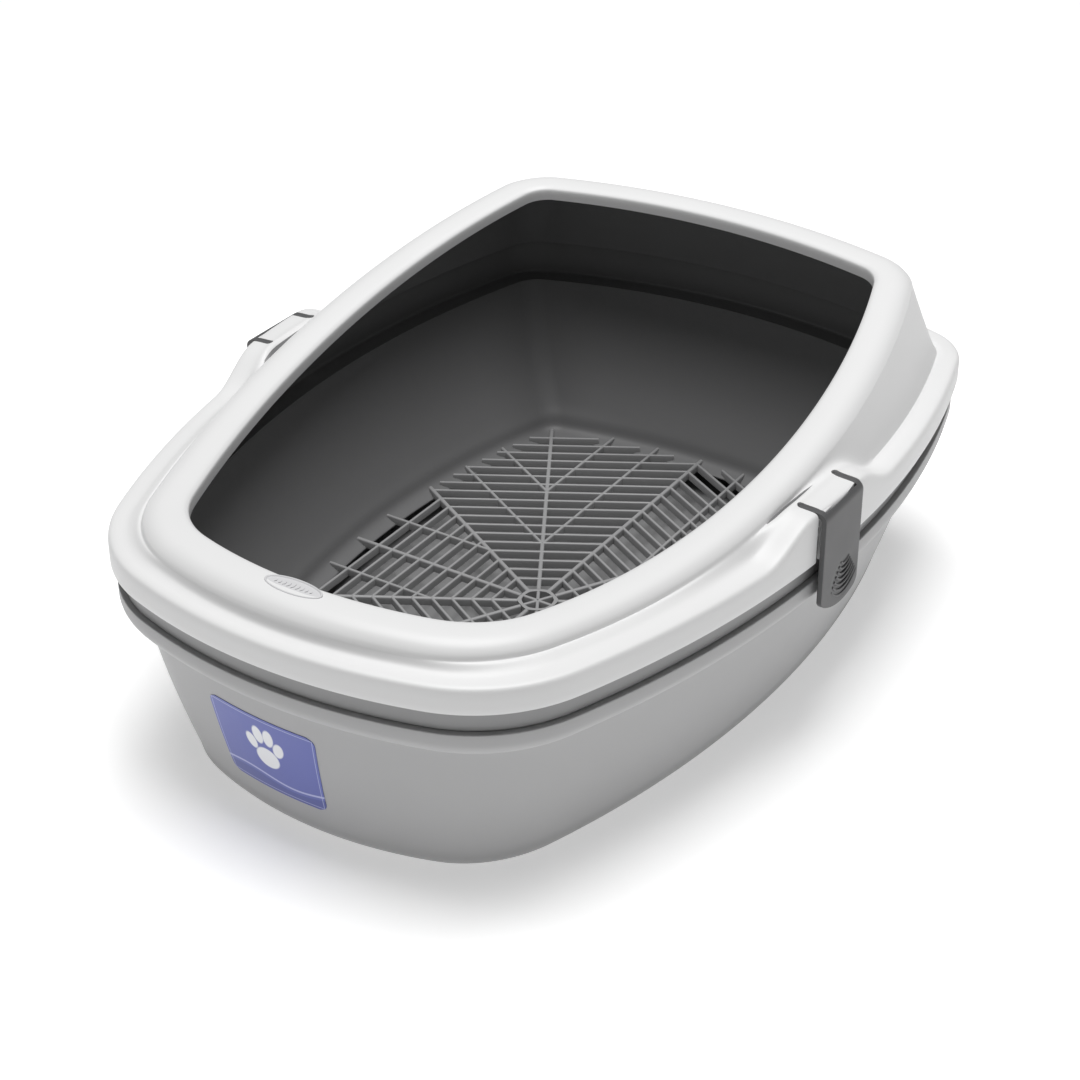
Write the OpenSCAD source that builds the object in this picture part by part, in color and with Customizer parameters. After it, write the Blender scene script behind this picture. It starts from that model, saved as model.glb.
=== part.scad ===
// Cat litter tray in stacked mouldings: a tapered pan, a sieve basket that hangs in it,
// a high-backed rim that closes over both, and two swinging side clips.
// X runs across the tray, Y from the low front to the high back, Z up from the floor.

/* [Tray outline] */
// Width over the rim skirt
tray_w = 435; // [340:1:520]
// Length over the rim skirt
tray_l = 590; // [440:1:720]
// Radius of the bowed front before the outline is fitted to the width and length
front_bow_r = 355; // [250:1:600]
// Angle the front bow turns through, each side
front_bow_a = 16.8; // [12:0.1:20]
// Radius of the front corners
front_corner_r = 100; // [60:1:130]
// Angle the front corners turn through
front_corner_a = 51.1; // [45:0.1:60]
// Radius of the bowed sides
side_bow_r = 695; // [500:1:1200]
// Angle the sides turn through
side_bow_a = 38.3; // [30:0.1:45]
// Radius of the back corners
back_corner_r = 48; // [35:1:90]
// Angle the back corners turn through
back_corner_a = 53; // [45:0.1:60]

/* [Pan] */
// Height of the pan rim above the floor
pan_h = 126.5; // [100:0.5:170]
// Wall thickness of the pan
pan_wall = 2.6; // [2:0.1:4]
// Thickness of the pan floor
pan_floor = 2.8; // [2:0.1:5]
// How far the pan wall stands in from the skirt at its top
pan_top_in = 17.7; // [14:0.1:22]
// How far the pan wall stands in at the foot, at the sides
pan_foot_in_x = 45; // [25:1:60]
// How far the pan wall stands in at the foot, at the ends
pan_foot_in_y = 31; // [20:1:50]
// How far the foot sits towards the back
pan_foot_shift = 4.8; // [0:0.1:10]
// Outward bow of the pan wall at half height
pan_bow = 2; // [0:0.1:5]
// Share of an ellipse in the foot outline
pan_foot_round = 0; // [0:0.01:0.3]
// Radius of the bottom edge
pan_edge_r = 11; // [6:0.5:20]
// Height of the upright face of the rim band of the pan
band_h = 11; // [8:0.1:20]
// Height of the slope under the rim band
flare_h = 8.8; // [6:0.1:12]
// How far the rim band stands in from the skirt
band_in = 3.2; // [2.6:0.1:5]
// Width of the top edge of the rim band, on which the basket rests
band_t = 6; // [5:0.1:8]

/* [Sieve basket] */
// Height of the basket rim that shows between pan and skirt
sieve_rim_h = 15.6; // [12:0.1:30]
// How far the basket rim stands in from the tips of the hooks
sieve_rim_in = 0.3; // [0.2:0.1:1.5]
// Wall thickness of the basket
sieve_wall = 2.4; // [1.8:0.1:3.5]
// Height of the top of the grate above the floor
grate_z = 27.6; // [22:0.1:40]
// Depth of the grate bars
grate_t = 6; // [3:0.5:9]
// How far the grate stands in from the skirt at the sides
grate_side_in = 74; // [66:1:110]
// How far the grate stands in from the skirt at the front
grate_front_in = 71; // [66:1:110]
// How far the grate stands in from the skirt at the back
grate_back_in = 81; // [70:1:120]
// Width of the sloping shoulder round the grate
shoulder_w = 17; // [12:1:26]
// Height the shoulder climbs
shoulder_h = 15; // [10:1:26]
// Distance of the first bar from the hub
bar_first = 27; // [20:0.1:32]
// Pitch of the bars
bar_pitch = 11.7; // [9:0.1:16]
// Width of the thin bars
bar_w = 2; // [1.5:0.1:3]
// Width of the spokes
spoke_w = 3; // [2:0.1:4]
// Spacing of the thin branches between the spokes
branch_pitch = 36.5; // [28:0.5:50]
// Radius of the ring at the hub
hub_r = 14.5; // [11:0.5:18]

/* [Rim] */
// Height of the skirt
skirt_h = 17; // [12:0.5:24]
// Thickness of the rim shell
shell_t = 2.6; // [2:0.1:3.5]
// Width of the flat ledge behind the skirt
ledge_w = 17; // [14:0.5:20]
// Width of the rounded top rim, measured out from the opening
lip_w = 27; // [22:0.5:30]
// Depth of the inner lip of the opening
lip_h = 8; // [5:0.5:12]
// How far the opening stands in from the skirt at the sides
open_side_in = 51.3; // [46:0.1:70]
// How far the opening stands in from the skirt at the front
open_front_in = 44.9; // [44:0.1:60]
// How far the opening stands in from the skirt at the back
open_back_in = 71.3; // [50:0.1:100]
// Height of the opening edge at the front, above the bottom of the skirt
rim_front_h = 30.8; // [28:0.1:50]
// Height of the opening edge at the back, above the bottom of the skirt
rim_back_h = 81.7; // [60:0.1:120]
// Slope of the opening edge at the front
rim_front_slope = -0.125; // [-0.15:0.005:0.1]
// Slope of the opening edge at the back
rim_back_slope = 0.15; // [0.1:0.01:0.3]
// Radius of the front curve of the opening before fitting
open_front_r = 280; // [250:1:500]
// Angle the front curve of the opening turns through, each side
open_front_a = 16.7; // [12:0.1:20]
// Radius of the front corners of the opening
open_corner_r = 64.4; // [45:1:80]
// Radius of the sides of the opening
open_side_r = 577; // [400:1:900]
// Radius of the back corners of the opening
open_back_r = 21.4; // [12:1:40]

/* [Clips] */
// Width of a clip
clip_w = 50; // [34:1:56]
// Place of the clips along the tray
clip_y = -5; // [-25:1:25]
// Thickness of the clip plate
clip_t = 3.2; // [2.6:0.1:4]
// How far the clip plate stands proud of the skirt
clip_proud = 3; // [2:0.1:6]
// Height of the raised boss over the ledge at each clip
boss_h = 17.4; // [12:0.1:24]
// Length of the flat top of the boss
boss_flat = 52; // [40:1:60]
// Length of each run-out of the boss
boss_run = 50; // [35:1:70]
// Width of each clip arm
arm_w = 4.6; // [3:0.1:6]
// Radius of the hinge stubs
stub_r = 2.2; // [1.6:0.1:2.8]
// Length of the hinge stubs
stub_l = 7; // [5:0.5:10]
// Distance of the hinge from the clip plate face
hinge_in = 16.4; // [12:0.1:18]
// Depth of the hinge below the top of the boss
hinge_dz = 4; // [3.6:0.1:5]
// How far the hook reaches under the pan band
hook_catch = 1.6; // [1:0.1:3]
// Thickness of the hook
hook_t = 3; // [2:0.1:5]
// How far the clip plate runs on below the hook
clip_tail = 8.3; // [4:0.1:12]

/* [Fits] */
// Radial running clearance of the hinge stubs in their bores
hinge_fit = 0.05; // [0.01:0.01:0.1]
// Gap between stacked mouldings
stack_gap = 0.3; // [0.2:0.05:0.6]
// Side gap round the clips
clip_gap = 0.6; // [0.4:0.1:1.2]

/* [Label and plaque] */
// Width of the label on the pan front
label_w = 89; // [50:1:100]
// Height of the label
label_h = 60; // [30:1:64]
// Place of the middle of the label across the pan
label_x = -22; // [-30:1:30]
// Height of the middle of the label above the floor
label_z = 56.8; // [50:0.1:62]
// Thickness of the label
label_t = 0.4; // [0.3:0.05:0.8]
// Length of the oval plaque on the front rim
plaque_l = 40; // [24:1:50]
// Width of the oval plaque
plaque_w = 15; // [8:0.5:16]

/* [Hidden] */
$fn = 48;
pan_grey = "#b9bbbd";
sieve_grey = "#77797b";
rim_white = "#f3f4f4";

// ---------- outlines: ovals made of five arcs each side ----------
fine = [5, 8, 30, 8, 6];            // chords in each arc: rim, with the clip bosses
plain = [4, 7, 12, 6, 5];           // and pan and basket
function cum(v, k) = k < 0 ? 0 : v[k] + cum(v, k - 1);
function arc_end(r, a, k) = k < 0 ? [0, 0] :
    let (t0 = cum(a, k - 1), t1 = cum(a, k))
    arc_end(r, a, k - 1) + r[k] * [sin(t1) - sin(t0), cos(t0) - cos(t1)];
function arc_pt(r, a, k, f) =
    let (t0 = cum(a, k - 1), t = t0 + f * a[k])
    [arc_end(r, a, k - 1) + r[k] * [sin(t) - sin(t0), cos(t0) - cos(t)], [sin(t), -cos(t)]];
// close the chain on the centre line with a last, nearly flat arc
function closed(r, a) = let (t = cum(a, 3)) [concat(r, [arc_end(r, a, 3)[0] / sin(t)]),
                                             concat(a, [180 - t])];
// one side, fitted to w by l, each entry [x, y, nx, ny]
function fit_pt(q, sx, sy, l) =
    let (n = [q[1][0] / sx, q[1][1] / sy], m = norm(n))
    [q[0][0] * sx, q[0][1] * sy - l / 2, n[0] / m, n[1] / m];
function scales(c, w, l) =
    [w / 2 / max([for (f = [0 : 0.02 : 1]) arc_pt(c[0], c[1], 2, f)[0][0]]),
     l / arc_end(c[0], c[1], 4)[1]];
function half_ring(c, w, l, g) = let (s = scales(c, w, l))
    concat([for (k = [0 : 4], i = [0 : g[k] - 1])
                fit_pt(arc_pt(c[0], c[1], k, i / g[k]), s[0], s[1], l)],
           [[0, l / 2, 0, 1]]);
function oval(c, w, l, dy, g) = let (h = half_ring(c, w, l, g), n = len(h) - 1)
    [for (i = [0 : 2 * n - 1]) let (p = i <= n ? h[i] : h[2 * n - i], s = i <= n ? 1 : -1)
        [s * p[0], p[1] + dy, s * p[2], p[3]]];

// the opening, from its distances to the skirt
open_w = tray_w - 2 * open_side_in;
open_l = tray_l - open_front_in - open_back_in;
open_y = (open_front_in - open_back_in) / 2;
tray_c = closed([front_bow_r, front_corner_r, side_bow_r, back_corner_r],
                [front_bow_a, front_corner_a, side_bow_a, back_corner_a]);
open_c = closed([open_front_r, open_corner_r, open_side_r, open_back_r],
                [open_front_a, 50.6, 40.3, 59.3]);
SKIRT = oval(tray_c, tray_w, tray_l, 0, fine);
OPEN = oval(open_c, open_w, open_l, open_y, fine);
TRAY = oval(tray_c, tray_w, tray_l, 0, plain);
WEB = oval(open_c, open_w, open_l, open_y, plain);

// heights
band_z = pan_h - band_h - flare_h;           // foot of the rim band
skirt_z = pan_h + sieve_rim_h;
ledge_z = skirt_z + skirt_h;
boss_z = ledge_z + boss_h;
// skirt's distance from the middle at the clips, and the tips of the hooks
side_x = lookup(clip_y, [for (p = SKIRT) if (p[0] > tray_w / 4) [p[1], p[0]]]);
hook_x = side_x - band_in - hook_catch;

// ---------- rings ----------
function inset(b, d, z) = [for (p = b) [p[0] - p[2] * d, p[1] - p[3] * d, z]];
function mix(r, s, t) = [for (i = [0 : len(r) - 1]) r[i] * (1 - t) + s[i] * t];
function flat(r, z) = [for (p = r) [p[0], p[1], z]];
// foot outline of the pan: the outline drawn in, shifted and rounded towards an ellipse
function foot_at(p, ix, iy) =
    let (a = tray_w / 2, b = tray_l / 2, t = atan2(p[1] / b, p[0] / a), e = pan_foot_round)
    [(p[0] * (1 - e) + a * cos(t) * e) * (1 - ix / a),
     (p[1] * (1 - e) + b * sin(t) * e) * (1 - iy / b) + pan_foot_shift];
// a point of the pan wall: t = 0 at the band, 1 at the start of the bottom edge
pan_drop = band_z - pan_edge_r;
function wall_at(p, t, d) =
    let (q = [p[0], p[1]] - [p[2], p[3]] * pan_top_in, g = foot_at(p, pan_foot_in_x, pan_foot_in_y))
    q * (1 - t) + g * t + [p[2], p[3]] * (pan_bow * 4 * t * (1 - t) - d);
function pan_ring(t, d) = [for (p = TRAY) let (q = wall_at(p, t, d)) [q[0], q[1], band_z - pan_drop * t]];
function pan_edge(a, d) = [for (p = TRAY)
    let (q = wall_at(p, 1, d + (pan_edge_r - d) * (1 - cos(a))))
    [q[0], q[1], pan_edge_r - (pan_edge_r - d) * sin(a) + (d > 0 ? (pan_floor - d) * sin(a) : 0)]];

// opening edge height, a smooth climb from front to back
function rim_z(y) =
    let (u = (y - open_y + open_l / 2) / open_l, h = rim_back_h - rim_front_h,
         m0 = rim_front_slope * open_l, m1 = rim_back_slope * open_l)
    skirt_z + rim_front_h + m0 * (pow(u, 3) - 2 * u * u + u) + h * (3 * u * u - 2 * pow(u, 3))
    + m1 * (pow(u, 3) - u * u);
function open_ring(d, dz) = [for (p = OPEN) [p[0] + p[2] * d, p[1] + p[3] * d, rim_z(p[1]) + dz]];
// bell-shaped rise of the ledge over each clip
function bell(p) =
    let (u = max(0, abs(p[1] - clip_y) - boss_flat / 2))
    abs(p[2]) < 0.8 || u > boss_run ? 0 : boss_h * (0.5 + 0.5 * cos(180 * u / boss_run));
function ledge_ring(d, dz, k = 1) =
    [for (p = SKIRT) [p[0] - p[2] * d, p[1] - p[3] * d, ledge_z + dz + k * bell(p)]];

// ---------- solids from rings ----------
module loft(rings, ring_closed = false) {
    n = len(rings[0]);
    m = len(rings);
    pts = [for (r = rings) each r];
    side = [for (j = [0 : m - (ring_closed ? 1 : 2)], i = [0 : n - 1])
        let (k = (i + 1) % n, a = j * n, b = ((j + 1) % m) * n) each
        [[a + i, b + k, a + k], [a + i, b + i, b + k]]];
    caps = ring_closed ? [] : [[for (i = [0 : n - 1]) i], [for (i = [n - 1 : -1 : 0]) (m - 1) * n + i]];
    polyhedron(pts, concat(side, caps), convexity = 10);
}

wall_steps = 5;
flare_mid = 0.72 * flare_h;                  // the slope under the band starts at 45 degrees
face_z = pan_h - band_h;                     // lower edge of the upright face
module pan() color(pan_grey) {
    loft(concat(
        [for (a = [90 : -22.5 : 22.5]) pan_edge(a, 0)],
        [for (i = [wall_steps : -1 : 0]) pan_ring(i / wall_steps, 0)],
        [inset(TRAY, band_in + flare_mid, face_z - flare_mid), inset(TRAY, band_in, face_z)],
        [inset(TRAY, band_in, pan_h - 0.8), inset(TRAY, band_in + 0.8, pan_h)],
        [inset(TRAY, band_in + band_t, pan_h), inset(TRAY, band_in + band_t, face_z - 1.5)],
        [inset(TRAY, pan_top_in + pan_wall, band_z + pan_wall - 0.4)],
        [for (i = [0 : wall_steps]) pan_ring(i / wall_steps, pan_wall)],
        [for (a = [22.5 : 22.5 : 90]) pan_edge(a, pan_wall)]));
}

// label following the curve and slope of the front wall
function label_at(u, v, off) =
    let (r = tray_c[0][0] * scales(tray_c, tray_w, tray_l)[0], x = label_x + u,
         f = asin(abs(x) / r) / tray_c[1][0],
         h = fit_pt(arc_pt(tray_c[0], tray_c[1], 0, f), scales(tray_c, tray_w, tray_l)[0],
                    scales(tray_c, tray_w, tray_l)[1], tray_l),
         p = [sign(x) * h[0], h[1], sign(x) * h[2], h[3]],
         z = label_z + v, q = wall_at(p, (band_z - z) / pan_drop, -off))
    [q[0], q[1], z];
label_nu = 8;
label_nv = 4;
// grid row of the label with rounded corners
function label_row(v, off) =
    let (r = 6, e = max(0, abs(v) - (label_h / 2 - r)), w = label_w / 2 - r + sqrt(max(0, r * r - e * e)))
    [for (i = [0 : label_nu]) label_at(w * (2 * i / label_nu - 1), v, off)];
module pan_label() color("#6a72c4") {
    vs = [-label_h / 2, -label_h / 2 + 1.8, -label_h / 2 + 6, 0, label_h / 2 - 6, label_h / 2 - 1.8, label_h / 2];
    loft([for (v = vs) concat(label_row(v, label_t), [for (i = [label_nu : -1 : 0]) label_row(v, -0.35)[i]])]);
}

// ---------- sieve ----------
grate_half_w = tray_w / 2 - grate_side_in;
grate_half_l = (tray_l - grate_front_in - grate_back_in) / 2;
grate_y = (grate_front_in - grate_back_in) / 2;
function grate_ring(d, z) = [for (p = WEB)
    [(p[0]) * (grate_half_w + d) / (open_w / 2),
     (p[1] - open_y) * (grate_half_l + d) / (open_l / 2) + grate_y, z]];
sieve_in = pan_top_in + pan_wall + 1.2;      // basket wall stands clear of the pan
rim_in = tray_w / 2 - hook_x + sieve_rim_in; // the rim passes inside the hooks when the hood lifts
sieve_base = grate_z - grate_t;
sieve_flange = pan_h + stack_gap;
sieve_top = ledge_z - shell_t - stack_gap;
basket_steps = 4;
// basket wall ring, t = 0 at the shoulder, 1 under the flange
function basket_ring(t, d, z0, z1) =
    mix(flat(grate_ring(shoulder_w + 4 - d, 0), z0 * (1 - t) + z1 * t),
        inset(TRAY, sieve_in + d, z0 * (1 - t) + z1 * t), t * (1.7 - 0.7 * t));
module sieve_basket() color(sieve_grey) {
    w = sieve_wall;
    zs = grate_z + shoulder_h;
    loft([for (r = concat(
        [grate_ring(0, sieve_base), grate_ring(6, sieve_base + 0.6),
         grate_ring(shoulder_w * 0.8, sieve_base + shoulder_h * 0.62)],
        [for (i = [0 : basket_steps]) basket_ring(i / basket_steps, 0, zs - w, sieve_flange)],
        [inset(TRAY, rim_in, sieve_flange), inset(TRAY, rim_in, sieve_top),
         inset(TRAY, rim_in + w, sieve_top), inset(TRAY, rim_in + w, sieve_flange + w + 2),
         inset(TRAY, rim_in + w + 2, sieve_flange + w)],
        [for (i = [basket_steps : -1 : 0]) basket_ring(i / basket_steps, w, zs + w * 0.6, sieve_flange + w - 0.01)],
        [grate_ring(shoulder_w * 0.72, grate_z + shoulder_h * 0.6), grate_ring(5, grate_z + 1.2),
         grate_ring(0, grate_z)])) r], true);
}

module bar(a, s0, s1, off, w) rotate(a) translate([s0, off - w / 2]) square([s1 - s0, w]);
grate_far = grate_half_l + grate_half_w;
module grate_2d() {
    // bars across each of the six sectors
    for (a = [0 : 60 : 300], i = [0 : floor((grate_far - bar_first) / bar_pitch)])
        let (s = bar_first + i * bar_pitch, h = s * tan(30))
            rotate(a) translate([s - bar_w / 2, -h]) square([bar_w, 2 * h]);
    // twelve spokes
    for (a = [0 : 30 : 330]) bar(a, hub_r - 1, grate_far, 0, spoke_w);
    // thin branches: beside the end spokes they lean to the sector edges, at the sides they stay parallel
    for (a = [60, 120, 240, 300], s = [-1, 1], k = [1, 2]) let (o = s * k * branch_pitch)
        bar(a + s * 30, k * branch_pitch / tan(30), grate_far, -o, bar_w);
    for (a = [0, 180], s = [-1, 1])
        bar(a, branch_pitch / tan(30), grate_far, s * branch_pitch, bar_w);
    // hub
    difference() { circle(hub_r, $fn = 6); circle(hub_r - 3.2, $fn = 6); }
    for (a = [0 : 60 : 120]) bar(a, -hub_r + 1, hub_r - 1, 0, 2.2);
    circle(3.2);
}
// rim of the grate where it meets the shoulder
module grate_frame() difference() {
    polygon([for (p = grate_ring(0, 0)) [p[0], p[1]]]);
    polygon([for (p = grate_ring(-bar_w, 0)) [p[0], p[1]]]);
}
module sieve_grate() color("#8d8f91") translate([0, 0, sieve_base]) linear_extrude(grate_t)
    offset(delta = 0.3) offset(delta = -0.6) offset(delta = 0.3) intersection() {
        union() {
            translate([0, grate_y]) grate_2d();
            grate_frame();
        }
        polygon([for (p = grate_ring(0, 0)) [p[0], p[1]]]);
    }

// ---------- hood rim ----------
clip_x = side_x + clip_proud;                // outer face of a clip plate
hinge_x = clip_x - hinge_in;
hinge_z = boss_z - hinge_dz;
notch_x = hinge_x - hinge_dz - 0.4;
notch_w = clip_w + 2 * clip_gap;
module hood_rim() color(rim_white) resize([0, 0, 0]) difference() {
    loft(concat(
        [ledge_ring(0, -skirt_h, 0), ledge_ring(0, -4), ledge_ring(0.9, -1.3), ledge_ring(3.6, 0)],
        [ledge_ring(ledge_w - 4, 0.6), ledge_ring(ledge_w - 0.4, 2, 0.98), ledge_ring(ledge_w + 1, 4, 0.9)],
        [mix(ledge_ring(ledge_w + 2, 7, 0.8), open_ring(lip_w, -9), 0.5)],
        [open_ring(lip_w, -7), open_ring(lip_w - 2, -3.4), open_ring(lip_w - 7, 1), open_ring(lip_w - 13, 3),
         open_ring(5, 2.2), open_ring(1.2, 0.6), open_ring(0, -1.5), open_ring(0, -lip_h)],
        [open_ring(shell_t, -lip_h), open_ring(shell_t, -3), open_ring(6, -shell_t + 0.6),
         open_ring(lip_w - 13, 3 - shell_t), open_ring(lip_w - 8, 0.6 - shell_t), open_ring(lip_w - 2 - shell_t, -5.4),
         open_ring(lip_w - shell_t, -8.5)],
        [mix(ledge_ring(ledge_w + 2 + shell_t, 6, 0.8), open_ring(lip_w - shell_t, -10.5), 0.5)],
        [ledge_ring(ledge_w + 1 + shell_t, 2.4, 0.9), ledge_ring(ledge_w - 0.4 + shell_t, -0.4, 0.98),
         ledge_ring(ledge_w - 3, 0.8 - shell_t), ledge_ring(shell_t + 1, -shell_t), ledge_ring(shell_t, -shell_t - 2),
         ledge_ring(shell_t, -skirt_h, 0)]), true);
    for (s = [-1, 1]) clip_notch(s);
}
module clip_notch(s) translate([s > 0 ? notch_x : -notch_x - 40, clip_y - notch_w / 2, skirt_z - 5])
    cube([40, notch_w, boss_z - skirt_z + 20]);

module hood_plaque() color("#dfe1e2")
    translate([0, open_y - open_l / 2 - 9, rim_z(open_y - open_l / 2) + 0.8]) linear_extrude(2.8)
        polygon([for (a = [0 : 10 : 350]) [plaque_l / 2 * cos(a), plaque_w / 2 * sin(a)]]);

// ---------- clips and their mounts, drawn for the right side ----------
tab_w = clip_w - 2 * arm_w - 2 * clip_gap;
tab_r = hinge_in - clip_t - clip_gap;
module along_y(w, yc = 0) translate([0, yc + w / 2, 0]) rotate([90, 0, 0]) linear_extrude(w) children();
module mount() translate([0, clip_y, 0]) difference() {
    along_y(tab_w) intersection() {
        union() {
            translate([hinge_x, hinge_z]) circle(tab_r);
            translate([notch_x, hinge_z - tab_r]) square([hinge_x - notch_x, hinge_dz + tab_r]);
        }
        translate([notch_x, hinge_z - 30]) square([60, 30 + hinge_dz]);
    }
    for (s = [-1, 1]) translate([hinge_x, s * (tab_w / 2 - stub_l / 2 - clip_gap + 0.5), hinge_z])
        rotate([90, 0, 0]) cylinder(r = stub_r + hinge_fit, h = stub_l + 1, center = true);
}
// top of the hook, just under the slope of the band where the band reaches furthest out
hook_z = face_z - (tray_w / 2 - band_in - hook_x) - stack_gap;
clip_base = hook_z - hook_t - clip_tail;
module clip() translate([0, clip_y, 0]) {
    top_r = 6;
    difference() {
        along_y(clip_w) union() {
            translate([clip_x - clip_t, clip_base]) square([clip_t, hinge_z + hinge_dz - top_r - clip_base]);
            translate([clip_x - top_r, hinge_z + hinge_dz - top_r]) circle(top_r);
            translate([hinge_x, hinge_z - hinge_dz]) square([clip_x - top_r - hinge_x, 2 * hinge_dz]);
            translate([clip_x - top_r, hinge_z - hinge_dz]) square([top_r - 0.01, 2 * hinge_dz - top_r]);
            translate([hinge_x, hinge_z]) circle(hinge_dz);
            translate([hook_x, hook_z - hook_t]) square([clip_x - hook_x - clip_t / 2, hook_t]);
        }
        // clear the tab between the arms
        along_y(clip_w - 2 * arm_w) translate([hinge_x, hinge_z]) circle(hinge_in - clip_t);
        // round the lower corners
        for (s = [-1, 1]) translate([0, s * clip_w / 2, clip_base]) rotate([90, 0, 90])
            translate([0, 0, hook_x - 1]) linear_extrude(40) difference() {
                translate([s > 0 ? -9 : -1, -1]) square(10);
                translate([-s * 9, 9]) circle(9);
            }
    }
    for (s = [-1, 1]) translate([hinge_x, s * (clip_w / 2 - arm_w - stub_l / 2 + 0.5), hinge_z])
        rotate([90, 0, 0]) cylinder(r = stub_r, h = stub_l + 1, center = true);
    // raised grip arcs
    for (i = [0 : 6]) translate([clip_x - 0.3, 6, clip_base + 36]) rotate([90, 0, 90]) linear_extrude(1.1)
        intersection() {
            difference() { circle(9 + i * 3.6); circle(7.6 + i * 3.6); }
            rotate(-90) translate([0, -(5.5 + i * 1.8)]) square([60, 2 * (5.5 + i * 1.8)]);
        }
}
module mount_right() color(rim_white) mount();
module mount_left() color(rim_white) mirror([1, 0, 0]) mount();
module clip_right() color(sieve_grey) clip();
module clip_left() color(sieve_grey) mirror([1, 0, 0]) clip();

pan();
pan_label();
sieve_basket();
sieve_grate();
hood_rim();
hood_plaque();
mount_left();
mount_right();
clip_left();
clip_right();
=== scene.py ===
import math

import bmesh
import bpy
import numpy as np
from mathutils import Matrix, Vector


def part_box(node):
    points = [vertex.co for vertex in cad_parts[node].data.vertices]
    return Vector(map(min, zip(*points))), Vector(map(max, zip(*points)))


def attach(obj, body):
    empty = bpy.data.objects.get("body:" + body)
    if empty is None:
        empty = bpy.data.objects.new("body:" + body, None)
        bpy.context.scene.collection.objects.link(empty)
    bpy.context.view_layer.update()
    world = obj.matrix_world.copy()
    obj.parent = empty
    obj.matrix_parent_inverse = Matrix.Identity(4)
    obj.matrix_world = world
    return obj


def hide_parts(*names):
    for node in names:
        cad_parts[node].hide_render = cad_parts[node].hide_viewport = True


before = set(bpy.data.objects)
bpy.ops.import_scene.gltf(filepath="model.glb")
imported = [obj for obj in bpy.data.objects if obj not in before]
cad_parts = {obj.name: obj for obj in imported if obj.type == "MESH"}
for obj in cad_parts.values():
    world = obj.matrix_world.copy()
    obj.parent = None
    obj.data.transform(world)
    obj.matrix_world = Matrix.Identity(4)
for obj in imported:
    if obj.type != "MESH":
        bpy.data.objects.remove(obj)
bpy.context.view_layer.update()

MM = 0.001

# ------------------------------------------------------------------ sizes, millimetres
rim_low, rim_high = (np.array(v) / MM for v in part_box("hood_rim"))
pan_high = np.array(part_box("pan")[1]) / MM
web_low, web_high = (np.array(v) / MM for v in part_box("sieve_grate"))
clip_low, clip_high = (np.array(v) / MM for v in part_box("clip_right"))

# sizes that the boxes can't give; the distances in and out are measured from the skirt or the opening
TRAY_W, TRAY_L = rim_high[0] - rim_low[0], rim_high[1] - rim_low[1]
PAN_H, SKIRT_Z = pan_high[2], rim_low[2]
SKIRT_H, SHELL = 17.0, 2.6
LEDGE_Z = SKIRT_Z + SKIRT_H
BAND_H, FLARE_H, BAND_IN, BAND_T = 11.0, 8.8, 3.2, 6.0
FACE_Z, FLARE_MID = PAN_H - BAND_H, 0.72 * FLARE_H
BAND_Z = FACE_Z - FLARE_H
PAN_WALL, PAN_FLOOR, PAN_TOP_IN, PAN_EDGE = 2.6, 2.8, 17.7, 11.0
SIEVE_WALL, SHOULDER_W, SHOULDER_H = 2.4, 17.0, 15.0
GRATE_TOP, GRATE_BASE = web_high[2], web_low[2]
GRATE_W, GRATE_L = (web_high[0] - web_low[0]) / 2, (web_high[1] - web_low[1]) / 2
HUB_Y = (web_high[1] + web_low[1]) / 2
OPEN_IN_X, OPEN_IN_FRONT, OPEN_IN_BACK = 51.3, 44.9, 71.3
OPEN_W, OPEN_L = TRAY_W - 2 * OPEN_IN_X, TRAY_L - OPEN_IN_FRONT - OPEN_IN_BACK
OPEN_Y = (OPEN_IN_FRONT - OPEN_IN_BACK) / 2
LIP_H, LIP_FRONT, LIP_BACK = 8.0, 30.8, 81.7    # the two last ones above the skirt's lower edge
CLIP_W, CLIP_Y = clip_high[1] - clip_low[1], (clip_high[1] + clip_low[1]) / 2
GRIP_OUT, CLIP_PROUD, HOOK_CATCH, ARM_W, CLIP_T, HINGE_IN = 0.8, 3.0, 1.6, 4.6, 3.2, 16.4
HINGE_DROP, STUB_R, HOOK_RISE = 4.0, 2.2, 8.3
CLIP_X, CLIP_TOP, CLIP_BASE = clip_high[0] - GRIP_OUT, clip_high[2], clip_low[2]
HOOK_X = CLIP_X - CLIP_PROUD - BAND_IN - HOOK_CATCH
BOSS_H, BOSS_FLAT, BOSS_RUN = 17.4, 52.0, 50.0
LABEL_W, LABEL_H, LABEL_X, LABEL_Z = 89.0, 60.0, -22.0, 56.8


# ------------------------------------------------------------------ outlines and rings
def chain(radii, angles, counts):
    """Half an oval from the middle of the front: arcs end to end, closed on the centre line."""
    pts, nrm, at, turn = [], [], np.zeros(2), 0.0
    radii, angles = list(radii), [math.radians(a) for a in angles]
    for k, n in enumerate(counts):
        if k == len(radii):
            angles.append(math.pi - turn)
            radii.append(at[0] / math.sin(turn))
        t = turn + angles[k] * np.arange(n + (k == len(counts) - 1)) / n
        step = radii[k] * np.stack([np.sin(t) - math.sin(turn), math.cos(turn) - np.cos(t)], 1)
        pts.append(at + step)
        nrm.append(np.stack([np.sin(t), -np.cos(t)], 1))
        end = turn + angles[k]
        at = at + radii[k] * np.array([math.sin(end) - math.sin(turn), math.cos(turn) - math.cos(end)])
        turn = end
    return np.concatenate(pts), np.concatenate(nrm)


def oval(radii, angles, counts, width, length, mid):
    """Closed ring of points and outward directions, fitted to a width and a length."""
    p, n = chain(radii, angles, counts)
    sx, sy = width / 2 / p[:, 0].max(), length / p[-1, 1]
    p = np.stack([p[:, 0] * sx, p[:, 1] * sy - length / 2], 1)
    n = np.stack([n[:, 0] / sx, n[:, 1] / sy], 1)
    n /= np.linalg.norm(n, axis=1)[:, None]
    p = np.concatenate([p, p[-2:0:-1] * [-1, 1]]) + [0, mid]
    return p, np.concatenate([n, n[-2:0:-1] * [-1, 1]])


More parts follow.
